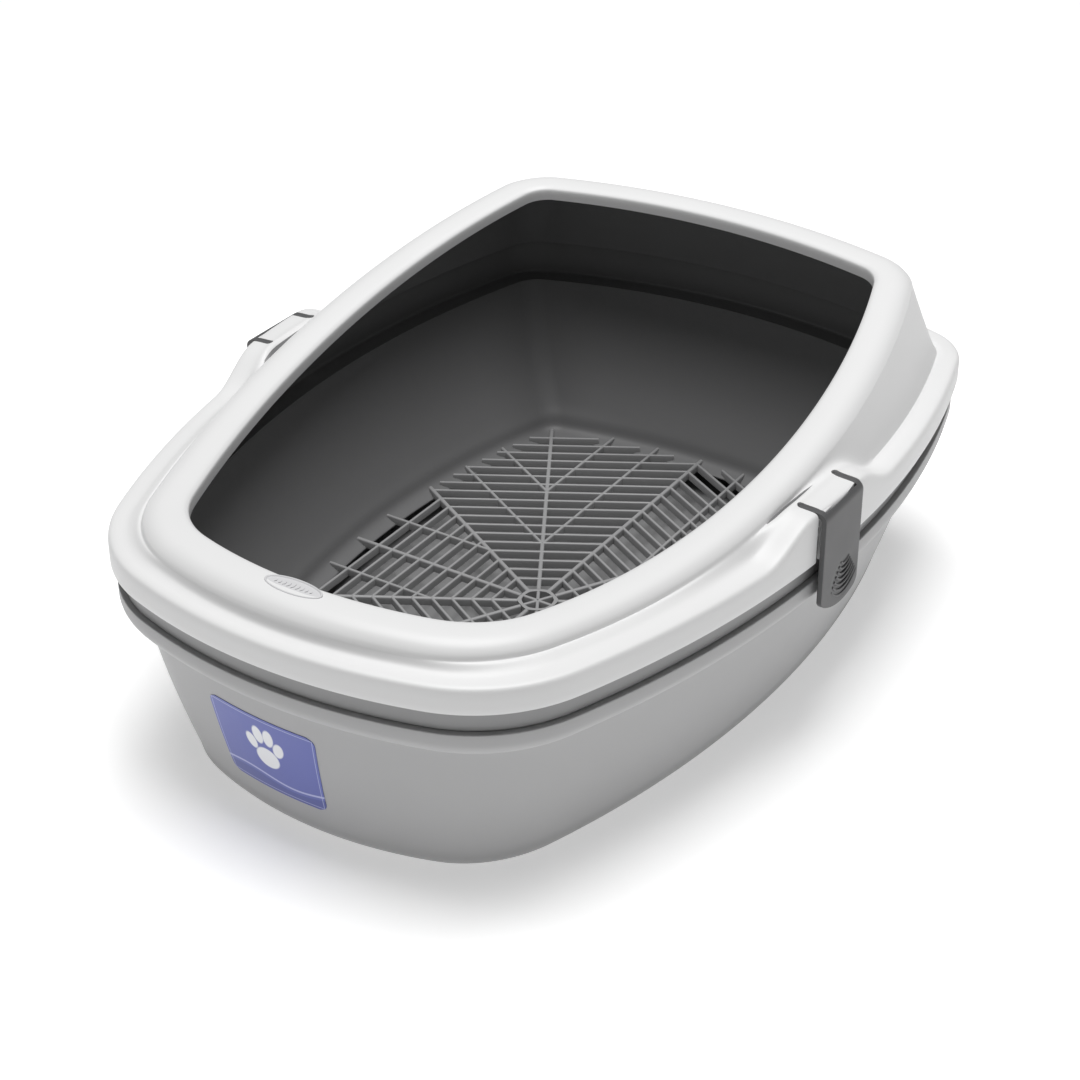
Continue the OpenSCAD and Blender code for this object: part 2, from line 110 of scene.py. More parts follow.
TRAY_R, TRAY_A = (355, 100, 695, 48), (16.8, 51.1, 38.3, 53.0)
OPEN_R, OPEN_A = (280, 64.4, 577, 21.4), (16.7, 50.6, 40.3, 59.3)
COUNTS = (16, 30, 104, 26, 20)
TRAY = oval(TRAY_R, TRAY_A, COUNTS, TRAY_W, TRAY_L, 0)
OPEN = oval(OPEN_R, OPEN_A, COUNTS, OPEN_W, OPEN_L, OPEN_Y)


def ring(base, out, z):
    """The outline moved out along its own directions, at a height or a height for each point."""
    p, n = base
    q = p + n * (out[:, None] if np.ndim(out) else out)
    return np.column_stack([q, np.broadcast_to(z, len(q))])


def blend(a, b, t):
    return a * (1 - t) + b * t


def rim_height(y):
    u, rise = (y - OPEN_Y + OPEN_L / 2) / OPEN_L, LIP_BACK - LIP_FRONT
    m0, m1 = -0.125 * OPEN_L, 0.15 * OPEN_L
    return (SKIRT_Z + LIP_FRONT + m0 * (u**3 - 2 * u * u + u) + rise * (3 * u * u - 2 * u**3)
            + m1 * (u**3 - u * u))


def lip(out, dz):
    return ring(OPEN, out, rim_height(OPEN[0][:, 1]) + dz)


def bell():
    p, n = TRAY
    u = np.clip(np.abs(p[:, 1] - CLIP_Y) - BOSS_FLAT / 2, 0, BOSS_RUN)
    return np.where(np.abs(n[:, 0]) < 0.8, 0, BOSS_H * (0.5 + 0.5 * np.cos(np.pi * u / BOSS_RUN)))


def ledge(inset, dz, share=1.0):
    return ring(TRAY, -inset, LEDGE_Z + dz + share * bell())


def foot(inset_x, inset_y):
    x, y = TRAY[0].T
    return np.stack([x * (1 - 2 * inset_x / TRAY_W), y * (1 - 2 * inset_y / TRAY_L) + 4.8], 1)


# the ledge is narrower and the roll wider round the front
FRONT = np.clip(-TRAY[1][:, 1], 0, 1) ** 1.5
LEDGE_W, LIP_W = 17.0 - 4.0 * FRONT, 27.0 + 3.6 * FRONT


def pan_wall(t, inward):
    """Ring of the pan wall: t is 0 under the band and 1 where the bottom edge starts."""
    p, n = TRAY
    q = (p - n * PAN_TOP_IN) * (1 - t) + foot(45, 31) * t + n * (2.0 * 4 * t * (1 - t) - inward)
    return np.column_stack([q, np.full(len(q), BAND_Z - (BAND_Z - PAN_EDGE) * t)])


def pan_edge(angle, inward):
    r = PAN_EDGE - inward
    q = pan_wall(1, inward + r * (1 - math.cos(angle)))
    lift = (PAN_FLOOR - inward) * math.sin(angle) if inward else 0
    q[:, 2] = PAN_EDGE - r * math.sin(angle) + lift
    return q


def web_ring(out, z):
    p = OPEN[0]
    q = np.stack([p[:, 0] * (GRATE_W + out) / (OPEN_W / 2),
                  (p[:, 1] - OPEN_Y) * (GRATE_L + out) / (OPEN_L / 2) + HUB_Y], 1)
    return np.column_stack([q, np.full(len(q), z)])


# ------------------------------------------------------------------ surfaces through rings
def curve_rings(rings, steps):
    """Smooth surface through every ring (Catmull-Rom across the rings)."""
    r = [2 * rings[0] - rings[1]] + list(rings) + [2 * rings[-1] - rings[-2]]
    out = []
    for k in range(1, len(r) - 2):
        for s in range(steps):
            t = s / steps
            out.append(0.5 * (2 * r[k] + (r[k + 1] - r[k - 1]) * t
                              + (2 * r[k - 1] - 5 * r[k] + 4 * r[k + 1] - r[k + 2]) * t**2
                              + (3 * r[k] - r[k - 1] - 3 * r[k + 1] + r[k + 2]) * t**3))
    return out + [rings[-1]]


def round_rings(rings, radii, steps=4, closed=False):
    """Rounds each ring's corner by its own distance."""
    out, n = [], len(rings)
    for k in range(n):
        if radii[k] <= 0 or (not closed and k in (0, n - 1)):
            out.append(rings[k])
            continue
        p, a, b = rings[k], rings[k - 1], rings[(k + 1) % n]
        la, lb = (np.linalg.norm(q - p, axis=1)[:, None] + 1e-9 for q in (a, b))
        a, b = p + (a - p) * np.minimum(0.45, radii[k] / la), p + (b - p) * np.minimum(0.45, radii[k] / lb)
        out += [a * (1 - t) ** 2 + 2 * p * t * (1 - t) + b * t * t for t in np.linspace(0, 1, steps + 1)]
    return out


def new_mesh(name, verts, faces, smooth=True):
    mesh = bpy.data.meshes.new(name)
    mesh.from_pydata([tuple(v) for v in np.asarray(verts) * MM], [], faces)
    bm = bmesh.new()
    bm.from_mesh(mesh)
    bmesh.ops.remove_doubles(bm, verts=bm.verts, dist=1e-6)
    bmesh.ops.recalc_face_normals(bm, faces=bm.faces)
    bm.to_mesh(mesh)
    bm.free()
    if smooth:
        mesh.shade_smooth()
    obj = bpy.data.objects.new(name, mesh)
    bpy.context.scene.collection.objects.link(obj)
    return obj


def skin(name, rings, closed):
    """Skins a stack of rings; a closed stack is a hollow hoop, an open one gets flat ends."""
    n, m = len(rings[0]), len(rings)
    i, k = np.meshgrid(np.arange(n), np.arange(m if closed else m - 1))
    a, b = (k * n + i).ravel(), (k * n + (i + 1) % n).ravel()
    c, d = ((k + 1) % m * n + (i + 1) % n).ravel(), ((k + 1) % m * n + i).ravel()
    faces = [tuple(f) for f in np.stack([a, b, c, d], 1).tolist()]
    if not closed:
        faces += [tuple(range(n)), tuple(range((m - 1) * n, m * n))]
    return new_mesh(name, np.concatenate(rings), faces)


def tube_faces(n):
    """Faces of a straight solid whose two ends have n points each."""
    return [(i, (i + 1) % n, n + (i + 1) % n, n + i) for i in range(n)] + [tuple(range(n)), tuple(range(n, 2 * n))]


def crisp(obj, degrees):
    obj.data.set_sharp_from_angle(angle=math.radians(degrees))
    return obj


def bake(obj):
    """Turns an object with live modifiers into plain mesh."""
    graph = bpy.context.evaluated_depsgraph_get()
    mesh = bpy.data.meshes.new_from_object(obj.evaluated_get(graph), depsgraph=graph)
    obj.modifiers.clear()
    obj.data = mesh
    return obj


def carve(obj, cutter):
    mod = obj.modifiers.new("carve", "BOOLEAN")
    mod.operation, mod.solver, mod.object = "DIFFERENCE", "EXACT", cutter
    bake(obj)
    bpy.data.objects.remove(cutter)
    return obj


def soften(obj, width, segments=2, angle=35):
    mod = obj.modifiers.new("edges", "BEVEL")
    mod.width, mod.segments, mod.limit_method = width * MM, segments, "ANGLE"
    mod.angle_limit, mod.use_clamp_overlap = math.radians(angle), True
    bake(obj).data.shade_smooth()
    return crisp(obj, 60)


# ------------------------------------------------------------------ node maths
class Socket:
    """One output of a node; operators on it add Math nodes."""

    def __init__(self, tree, out):
        self.tree, self.out = tree, out

    def op(self, kind, *values):
        return node(self.tree, "ShaderNodeMath", {"operation": kind}, *values)[0]

    def __add__(self, v): return self.op("ADD", self, v)
    def __radd__(self, v): return self.op("ADD", v, self)
    def __sub__(self, v): return self.op("SUBTRACT", self, v)
    def __rsub__(self, v): return self.op("SUBTRACT", v, self)
    def __mul__(self, v): return self.op("MULTIPLY", self, v)
    def __rmul__(self, v): return self.op("MULTIPLY", v, self)
    def __truediv__(self, v): return self.op("DIVIDE", self, v)
    def __rtruediv__(self, v): return self.op("DIVIDE", v, self)
    def __pow__(self, v): return self.op("POWER", self, v)
    def __mod__(self, v): return self.op("FLOORED_MODULO", self, v)
    def __lt__(self, v): return self.op("LESS_THAN", self, v)
    def __gt__(self, v): return self.op("GREATER_THAN", self, v)
    def __neg__(self): return self.op("MULTIPLY", self, -1.0)


def node(tree, kind, settings=None, *values, **named):
    """Adds any node: settings first, then sockets by order or by name. Returns its outputs."""
    made = tree.nodes.new(kind)
    for key, v in (settings or {}).items():
        if key == "stops":
            ramp = made.color_ramp
            while len(ramp.elements) < len(v):
                ramp.elements.new(0.5)
            for el, (at, colour) in zip(ramp.elements, v):
                el.position, el.color = at, colour
        else:
            setattr(made, key, v)
    pairs = list(zip(made.inputs, values)) + [(made.inputs[k.replace("_", " ")], v) for k, v in named.items()]
    for sock, v in pairs:
        if isinstance(v, Socket):
            tree.links.new(v.out, sock)
        elif v is not None:
            sock.default_value = v
    return [Socket(tree, o) for o in made.outputs]


# ------------------------------------------------------------------ finishes
def moulded(name, colour, rough, grain=0.04, mottle=0.04, coat=0.0, scale=900.0):
    """Injection-moulded plastic: fine spark-eroded grain, faint flow mottling and handling haze."""
    mat = bpy.data.materials.new(name)
    mat.use_nodes = True
    tree = mat.node_tree
    tree.nodes.clear()
    at = node(tree, "ShaderNodeTexCoord")[3]
    flow = node(tree, "ShaderNodeTexNoise", {}, Vector=at, Scale=7.0, Detail=3.0, Roughness=0.5)[0]
    haze = node(tree, "ShaderNodeTexNoise", {}, Vector=at, Scale=38.0, Detail=4.0, Roughness=0.6)[0]
    fine = node(tree, "ShaderNodeTexNoise", {}, Vector=at, Scale=scale, Detail=2.0, Roughness=0.5)[0]
    dark = [c * (1 - mottle) for c in colour] + [1.0]
    light = [min(1.0, c * (1 + mottle)) for c in colour] + [1.0]
    tint = node(tree, "ShaderNodeMix", {"data_type": "RGBA"}, flow)[2]
    tint.out.node.inputs[6].default_value = dark
    tint.out.node.inputs[7].default_value = light
    bump = node(tree, "ShaderNodeBump", {}, Strength=grain, Distance=0.0004, Height=fine + haze * 0.35)[0]
    bsdf = node(tree, "ShaderNodeBsdfPrincipled", {}, Base_Color=tint, Roughness=rough - 0.06 + haze * 0.12,
                Normal=bump, IOR=1.46, Coat_Weight=coat, Coat_Roughness=0.25)[0]
    node(tree, "ShaderNodeOutputMaterial", {}, bsdf)
    return mat


rim_white = moulded("rim white plastic", (0.76, 0.76, 0.76), 0.42, grain=0.03, mottle=0.012)
pan_grey = moulded("pan grey plastic", (0.43, 0.43, 0.433), 0.48, grain=0.05, mottle=0.02)
# the pan's own grey plastic darkened for its inside: painted shade under the sieve
pan_inside_painted_shade = moulded("pan inside painted shade", (0.24, 0.24, 0.242), 0.50, grain=0.05, mottle=0.03)
# the sieve's grey darkened for its deep walls and the hood's inside: painted shade; the rim band and the grate keep
# lighter greys of the same moulding
sieve_grey = moulded("sieve grey painted shade", (0.18, 0.18, 0.182), 0.45, grain=0.05, mottle=0.03)
sieve_rim = moulded("sieve rim plastic", (0.30, 0.30, 0.302), 0.45, grain=0.05, mottle=0.03)
grate_grey = moulded("grate grey plastic", (0.34, 0.34, 0.343), 0.45, grain=0.04, mottle=0.02)
clip_grey = moulded("clip grey plastic", (0.090, 0.090, 0.092), 0.48, grain=0.06, mottle=0.03)
plaque_grey = moulded("plaque plastic", (0.62, 0.62, 0.63), 0.35, grain=0.03, mottle=0.02)


def printed_label():
    """Blue sticker with a white paw and two plain bands, drawn on the label's own coordinates."""
    mat = bpy.data.materials.new("label print")
    mat.use_nodes = True
    tree = mat.node_tree
    tree.nodes.clear()
    uv = node(tree, "ShaderNodeUVMap", {"uv_map": "label"})[0]
    xyz = node(tree, "ShaderNodeSeparateXYZ", {}, uv)
    x, y = xyz[0] * LABEL_W, xyz[1] * LABEL_H          # millimetres from the lower left corner

    def spot(cx, cy, rx, ry, tilt=0.0):
        c, s = math.cos(math.radians(tilt)), math.sin(math.radians(tilt))
        u, v = (x - cx) * c + (y - cy) * s, (y - cy) * c - (x - cx) * s
        d = (u / rx) ** 2.0 + (v / ry) ** 2.0
        edge = 0.9 / min(rx, ry)
        return node(tree, "ShaderNodeClamp", {}, (1.0 + edge - d) * (1.0 / (2 * edge)))[0]

    toes = [(33.5, 38.5, 4.3, 6.0, 24), (40.6, 45.5, 4.4, 6.5, 8),
            (49.4, 45.5, 4.4, 6.5, -8), (56.5, 38.5, 4.3, 6.0, -24)]
    paw = spot(45.0, 28.5, 10.0, 7.8)
    for t in toes:
        paw = paw.op("MAXIMUM", paw, spot(*t))
    blue, deep, white = (0.105, 0.130, 0.44, 1), (0.070, 0.090, 0.34, 1), (0.86, 0.87, 0.90, 1)
    line_blue = (0.45, 0.48, 0.75, 1)
    wave = 9.0 + ((x * 0.075).op("SINE", x * 0.075) * 2.2)
    band = node(tree, "ShaderNodeClamp", {}, (wave - y) * 2.0)[0]
    thin = node(tree, "ShaderNodeClamp", {}, (1.0 - (y - wave - 2.6).op("ABSOLUTE", y - wave - 2.6)) * 2.0)[0]
    inset = 2.0
    frame_line = [x - inset, (LABEL_W - inset) - x, y - inset, (LABEL_H - inset) - y]
    near = frame_line[0]
    for side in frame_line[1:]:
        near = near.op("MINIMUM", near, side)
    keyline = node(tree, "ShaderNodeClamp", {}, (0.45 - near.op("ABSOLUTE", near)) * 3.0)[0]
    grain = node(tree, "ShaderNodeTexNoise", {}, Vector=node(tree, "ShaderNodeTexCoord")[3], Scale=260.0)[0]

    def over(base, top, mask):
        mix = node(tree, "ShaderNodeMix", {"data_type": "RGBA"}, mask)[2]
        for slot, v in ((6, base), (7, top)):
            if isinstance(v, Socket):
                tree.links.new(v.out, mix.out.node.inputs[slot])
            else:
                mix.out.node.inputs[slot].default_value = v
        return mix

    colour = over(over(blue, deep, band), white, paw)
    colour = over(colour, line_blue, thin)
    colour = over(colour, line_blue, keyline * 0.8)
    bump = node(tree, "ShaderNodeBump", {}, Strength=0.04, Distance=0.0002, Height=grain)[0]
    bsdf = node(tree, "ShaderNodeBsdfPrincipled", {}, Base_Color=colour, Roughness=0.32 + grain * 0.08,
                Normal=bump, Coat_Weight=0.25, Coat_Roughness=0.15)[0]
    node(tree, "ShaderNodeOutputMaterial", {}, bsdf)
    return mat


def finish_piece(obj, mat, body, slot, *nodes):
    mats = mat if isinstance(mat, tuple) else (mat,)
    which = [p.material_index % len(mats) for p in obj.data.polygons]
    obj.data.materials.clear()
    for m in mats:
        obj.data.materials.append(m)
    obj.data.polygons.foreach_set("material_index", which)
    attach(obj, body)
    if nodes:
        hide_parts(*nodes)
    return obj


# ------------------------------------------------------------------ pan
def make_pan():
    walls = [i / 16 for i in range(17)]
    outer = [pan_edge(a, 0) for a in np.linspace(math.pi / 2, 0.15, 8)] + [pan_wall(t, 0) for t in walls[::-1]]
    inside = BAND_IN + BAND_T
    rim = round_rings([outer[-2], outer[-1], ring(TRAY, -(BAND_IN + FLARE_MID), FACE_Z - FLARE_MID),
                       ring(TRAY, -BAND_IN, FACE_Z), ring(TRAY, -BAND_IN, PAN_H), ring(TRAY, -inside, PAN_H),
                       ring(TRAY, -inside, FACE_Z - 1.5),
                       ring(TRAY, -(PAN_TOP_IN + PAN_WALL), BAND_Z + PAN_WALL - 0.4), pan_wall(0, PAN_WALL)],
                      [0, 1.2, 5.0, 4.2, 0.9, 0.8, 3.0, 1.5, 0], 5)
    inner = [pan_wall(t, PAN_WALL) for t in walls[1:]]
    inner += [pan_edge(a, PAN_WALL) for a in np.linspace(0.15, math.pi / 2, 7)]
    floor_out, floor_in = outer[0], inner[-1]
    mid_out, mid_in = floor_out.mean(0), floor_in.mean(0)
    pads = [0.25, 0.55, 0.85]                    # rings across the flat floor, as shares of its size
    rings = [blend(mid_out + 0 * floor_out, floor_out, s) for s in pads]
    rings += outer[:-1] + rim[1:-1] + [pan_wall(0, PAN_WALL)] + inner
    rings += [blend(mid_in + 0 * floor_in, floor_in, s) for s in pads[::-1]]
    obj = skin("pan_shell", rings, False)
    # faces inside the pan below the band take the darker grey: painted shade under the sieve, on what is one plastic
    two_finishes(obj, lambda at, facing, k: (PAN_FLOOR - 1 < at[2] < BAND_Z
                                             and facing @ [at[0], at[1], -60] < 0))
    return finish_piece(crisp(obj, 50), (pan_grey, pan_inside_painted_shade), "pan", "pan_grey", "pan")


def make_label():
    """Sticker laid over the curve of the front wall."""
    nu, nv, w, h, cx, cz, thick, r = 56, 32, LABEL_W, LABEL_H, LABEL_X, LABEL_Z, 0.4, 6.0
    p = TRAY[0]
    half = p[:, 1] < 0
    order = np.argsort(p[half][:, 0])
    src = p[half][order][:, 0]
    keep = np.abs(src) < 150

    def wall(x, z, out):
        t = (BAND_Z - z) / (BAND_Z - PAN_EDGE)
        q = pan_wall(t, -out)[half][order][keep]
        # the wall point is found by the outline's own x, as the moulding's rings run
        return np.interp(x, src[keep], q[:, 0]), np.interp(x, src[keep], q[:, 1])

    verts, uvs, faces = [], [], []
    for side, off in ((0, thick), (1, 0.02)):
        for j in range(nv + 1):
            v = h * (j / nv - 0.5)
            e = max(0.0, abs(v) - (h / 2 - r))
            half_w = w / 2 - r + math.sqrt(max(0.0, r * r - e * e))
            for i in range(nu + 1):
                u = half_w * (2 * i / nu - 1)
                x, y = wall(cx + u, cz + v, off)
                verts.append((x, y, cz + v))
                uvs.append((u / w + 0.5, v / h + 0.5))
    m = (nu + 1) * (nv + 1)
    for s in (0, 1):
        for j in range(nv):
            for i in range(nu):
                a = s * m + j * (nu + 1) + i
                f = (a, a + 1, a + nu + 2, a + nu + 1)
                faces.append(f if s == 0 else f[::-1])
    edge = [j * (nu + 1) + i for j, i in
            [(0, i) for i in range(nu)] + [(j, nu) for j in range(nv)]
            + [(nv, i) for i in range(nu, 0, -1)] + [(j, 0) for j in range(nv, 0, -1)]]
    faces += [(a, m + a, m + b, b) for a, b in zip(edge, edge[1:] + edge[:1])]
    mesh = bpy.data.meshes.new("front_label")
    mesh.from_pydata([tuple(c * MM for c in v) for v in verts], [], faces)
    layer = mesh.uv_layers.new(name="label")
    for loop in mesh.loops:
        layer.data[loop.index].uv = uvs[loop.vertex_index]
    bm = bmesh.new()
    bm.from_mesh(mesh)
    bmesh.ops.recalc_face_normals(bm, faces=bm.faces)
    bm.to_mesh(mesh)
    bm.free()
    mesh.shade_smooth()
    obj = bpy.data.objects.new("front_label", mesh)
    bpy.context.scene.collection.objects.link(obj)
    return finish_piece(crisp(obj, 50), printed_label(), "pan", "label_blue", "pan_label")


# ------------------------------------------------------------------ sieve basket
def make_basket():
    w, zs = SIEVE_WALL, GRATE_TOP + SHOULDER_H
    inset, rim_in = PAN_TOP_IN + PAN_WALL + 1.2, TRAY_W / 2 - HOOK_X + 0.3
    flange, top = PAN_H + 0.3, LEDGE_Z - SHELL - 0.3

    def wall(t, d, z0, z1):
        z = z0 * (1 - t) + z1 * t
        return blend(web_ring(SHOULDER_W + 4 - d, z), ring(TRAY, -(inset + d), z), t * (1.7 - 0.7 * t))

    steps = [0, 0.25, 0.5, 0.75, 1]
    under = curve_rings([web_ring(0, GRATE_BASE - 0.3), web_ring(10, GRATE_BASE - 0.3),
                         web_ring(SHOULDER_W * 0.98, GRATE_BASE + SHOULDER_H * 0.6)]
                        + [wall(t, 0, zs - w, flange) for t in steps], 4)
    over = curve_rings([wall(t, w, zs + w * 0.6, flange + w) for t in steps[::-1]]
                       + [web_ring(SHOULDER_W * 0.75, GRATE_TOP + SHOULDER_H * 0.5), web_ring(9, GRATE_TOP - 0.4),
                          web_ring(0.6, GRATE_BASE + 1.2), web_ring(0, GRATE_BASE + 0.4)], 4)
    rim = round_rings([under[-1], ring(TRAY, -rim_in, flange), ring(TRAY, -rim_in, top),
                       ring(TRAY, -(rim_in + w), top), ring(TRAY, -(rim_in + w), flange + w), over[0]],
                      [0, 0.8, 0.9, 0.9, 2.5, 0], 4)
    obj = skin("basket_shell", under + rim[1:-1] + over, True)
    # the rim band's outside takes the lighter grey; walls, shoulder and underside take the darker grey, painted shade
    # inside the basket
    two_finishes(obj, lambda at, facing, k: at[2] > PAN_H - 1 and facing[:2] @ at[:2] > 0)
    return finish_piece(crisp(obj, 55), (sieve_grey, sieve_rim), "sieve", "sieve_grey", "sieve_basket")


def bar_mesh(name, width, depth, crown):
    """Unit bar along X with a rounded top, its section at full size."""
    half, section = width / 2, []
    for a in np.linspace(0, math.pi, 6):
        section.append((half * math.cos(a), -crown + crown * math.sin(a)))
    section += [(-half * 0.8, -depth), (half * 0.8, -depth)]
    n = len(section)
    verts = [(x / MM, y, z) for x in (0, 1) for y, z in section]
    return new_mesh(name, verts, tube_faces(n))


def web_tree(bar, spoke, branch):
    """Web of the grate: bars square to each sector, spokes and branches, each cut to length at the rim wall."""
    tree = bpy.data.node_groups.new("grate web", "GeometryNodeTree")
    face = tree.interface
    face.new_socket("Rim wall", in_out="INPUT", socket_type="NodeSocketGeometry")
    sizes = {"Hub Y": HUB_Y * MM, "Top": GRATE_TOP * MM, "First bar": 27.0 * MM, "Bar pitch": 11.7 * MM,
             "Branch pitch": 36.5 * MM, "Hub radius": 13.4 * MM, "Lap": 0.0085}
    for key, v in sizes.items():
        s = face.new_socket(key, in_out="INPUT", socket_type="NodeSocketFloat")
        s.default_value = v
    face.new_socket("Finish", in_out="INPUT", socket_type="NodeSocketMaterial")
    face.new_socket("Web", in_out="OUTPUT", socket_type="NodeSocketGeometry")
    given = node(tree, "NodeGroupInput")
    wall, hub_y, top, first, pitch, fork, hub_r, lap, finish = given[:9]

    def rows(count, piece, place, turn, reach=None):
        """count seeds; place gives x, y and turn an angle from the index; the bar runs out from each seed."""
        index = node(tree, "GeometryNodeInputIndex")[0]
        x, y = place(index)
        pts = node(tree, "GeometryNodeMeshLine", {}, Count=count)[0]
        at = node(tree, "ShaderNodeCombineXYZ", {}, x, y + hub_y, top)[0]
        pts = node(tree, "GeometryNodeSetPosition", {}, Geometry=pts, Position=at)[0]
        angle = turn(index)
        way = node(tree, "ShaderNodeCombineXYZ", {}, angle.op("COSINE", angle), angle.op("SINE", angle), 0.0)[0]
        hit = node(tree, "GeometryNodeRaycast", {}, Target_Geometry=wall, Source_Position=at,
                   Ray_Direction=way, Ray_Length=1.0)
        room = hit[3] + lap
        if reach:
            room = room.op("MINIMUM", room, reach(index))
        # a seed outside the rim wall is dropped: a ray from the hub meets the wall before it
        span = (x * x + y * y) ** 0.5
        seed = node(tree, "ShaderNodeCombineXYZ", {}, x / (span + 1e-6), y / (span + 1e-6), 0.0)[0]
        start = node(tree, "ShaderNodeCombineXYZ", {}, 0.0, hub_y, top)[0]
        back = node(tree, "GeometryNodeRaycast", {}, Target_Geometry=wall, Source_Position=start,
                    Ray_Direction=seed, Ray_Length=1.0)
        outside = (back[3] - 0.002) < span
        lost = (hit[0] * -1.0 + 1.0)
        drop = outside.op("MAXIMUM", outside, lost)
        size = node(tree, "ShaderNodeCombineXYZ", {}, room, 1.0, 1.0)[0]
        spin = node(tree, "ShaderNodeCombineXYZ", {}, 0.0, 0.0, angle)[0]
        solid = node(tree, "GeometryNodeObjectInfo", {}, piece)[4]
        spin = node(tree, "FunctionNodeEulerToRotation", {}, spin)[0]
        keep = drop < 0.5
        return node(tree, "GeometryNodeInstanceOnPoints", {}, Points=pts, Selection=keep, Instance=solid,
                    Rotation=spin, Scale=size)[0]

    rad, deg60, tan30 = math.radians, math.radians(60), math.tan(math.radians(30))

    def floored(i, per=2.0):
        s = i / per
        return s.op("FLOOR", s)

    def sector(i, per):
        return floored(i, per) * deg60

    def sign(i):
        """-1 for even numbers and 1 for odd ones."""
        return (i % 2.0) * 2.0 - 1.0

    n = 22                                       # bars counted out from the hub in each sector

    def bar_out(i):
        return first + (floored(i) % n) * pitch

    def bar_at(i):
        a, d = sector(i, 2 * n), bar_out(i)
        return a.op("COSINE", a) * d, a.op("SINE", a) * d

    parts = [rows(12 * n, bar, bar_at, lambda i: sector(i, 2 * n) + sign(i) * rad(90), lambda i: bar_out(i) * tan30)]

    def spoke_at(i):
        a = i * rad(30)
        return a.op("COSINE", a) * hub_r, a.op("SINE", a) * hub_r
    parts.append(rows(12, spoke, spoke_at, lambda i: i * rad(30)))

    # sectors at 60, 120, 240 and 300 degrees: two branches each side, parallel to the edge spokes
    def arm(i):
        k = floored(i, 4.0)
        return (k + 1.0 + (k > 1.5)) * deg60

    def fork_at(i):
        d = fork * ((floored(i) % 2.0) + 1.0) / math.sin(rad(30))
        a = arm(i)
        return a.op("COSINE", a) * d, a.op("SINE", a) * d
    parts.append(rows(16, branch, fork_at, lambda i: arm(i) + sign(i) * rad(30)))

    # sectors at 0 and 180 degrees: one branch each side, parallel to the middle spoke
    def side_at(i):
        a = floored(i) * rad(180)
        return a.op("COSINE", a) * (fork / tan30), sign(i) * fork
    parts.append(rows(4, branch, side_at, lambda i: floored(i) * rad(180)))

    joined = node(tree, "GeometryNodeJoinGeometry")[0]
    for p in parts:
        tree.links.new(p.out, joined.out.node.inputs[0])
    solid = node(tree, "GeometryNodeRealizeInstances", {}, Geometry=joined)[0]
    solid = node(tree, "GeometryNodeSetMaterial", {}, Geometry=solid, Material=finish)[0]
    node(tree, "NodeGroupOutput", {}, solid)
    return tree


def drive(obj, tree, values):
    """Adds a Geometry Nodes modifier and sets its inputs by identifier."""
    mod = obj.modifiers.new(tree.name, "NODES")
    mod.node_group = tree
    ids = {s.name: s.identifier for s in tree.interface.items_tree if s.in_out == "INPUT"}
    for key, v in values.items():
        mod[ids[key]] = v
    return bake(obj)


def make_web():
    depth = GRATE_TOP - GRATE_BASE
    bar, spoke, branch = (bar_mesh(n, w, depth, c) for n, w, c in
                          (("bar", 2.1, 0.8), ("spoke", 3.1, 1.1), ("branch", 2.3, 0.9)))
    low, high = web_ring(-0.5, GRATE_TOP - 12), web_ring(-0.5, GRATE_TOP + 8)
    m = len(low)
    wall = new_mesh("web_grate", np.concatenate([low, high]),
                    [(i, (i + 1) % m, m + (i + 1) % m, m + i) for i in range(m)])
    tree = web_tree(bar, spoke, branch)
    obj = drive(wall, tree, {"Finish": grate_grey})
    # hub: hexagonal ring with crossing bars
    hub = bmesh.new()
    hub.from_mesh(obj.data)

    def hoop(outer, inner):
        """Flat-sided ring between two outlines, as deep as the grate."""
        loops = [[hub.verts.new((x * MM, (y + HUB_Y) * MM, z * MM)) for x, y in pts]
                 for pts in (outer, inner) for z in (GRATE_BASE, GRATE_TOP)]
        for i in range(len(outer)):
            j = (i + 1) % len(outer)
            hub.faces.new((loops[0][i], loops[0][j], loops[1][j], loops[1][i]))
            hub.faces.new((loops[2][j], loops[2][i], loops[3][i], loops[3][j]))
            hub.faces.new((loops[1][i], loops[1][j], loops[3][j], loops[3][i]))
            hub.faces.new((loops[2][i], loops[2][j], loops[0][j], loops[0][i]))

    def hexagon(r, soft, n=8):
        """Six-sided outline, eased towards a circle by its soft share."""
        pts = []
        for k in range(6):
            for s in np.linspace(-0.5, 0.5, n):
                b = (k + s) * math.pi / 3
                flat = r * math.cos(math.pi / 6) / math.cos((b + math.pi / 6) % (math.pi / 3) - math.pi / 6)
                rr = flat * (1 - soft) + r * 0.93 * soft
                pts.append((rr * math.cos(b), rr * math.sin(b)))
        return pts

    hoop(hexagon(14.6, 0.35), hexagon(11.6, 0.75))
    web = bpy.data.meshes.new("web")
    hub.to_mesh(web)
    hub.free()
    obj.data = web
    for k in range(3):
        extra = bar_mesh("hub_bar", 2.4, depth, 0.8)
        extra.data.transform(hub_place(k * 60.0, -12.5, 25.0))
        merge(obj, extra)
    for o in (bar, spoke, branch):
        bpy.data.objects.remove(o)
    obj.data.shade_smooth()
    crisp(obj, 40)
    return finish_piece(obj, grate_grey, "sieve", "sieve_grey", "sieve_grate")


def hub_place(degrees, start, length):
    turn = Matrix.Rotation(math.radians(degrees), 4, "Z")
    return (Matrix.Translation((0, HUB_Y * MM, GRATE_TOP * MM)) @ turn @ Matrix.Translation((start * MM, 0, 0))
            @ Matrix.Diagonal((length * MM, 1, 1, 1)))


def merge(obj, other):
    bm = bmesh.new()
    bm.from_mesh(obj.data)
    bm.from_mesh(other.data)
    bm.to_mesh(obj.data)
    bm.free()
    bpy.data.objects.remove(other)


# ------------------------------------------------------------------ hood rim
HINGE_X, HINGE_Z = CLIP_X - HINGE_IN, CLIP_TOP - HINGE_DROP
NOTCH_X, GAP, GRIP_Y, TONGUE = HINGE_X - 4.4, 0.6, 6.0, 24.0


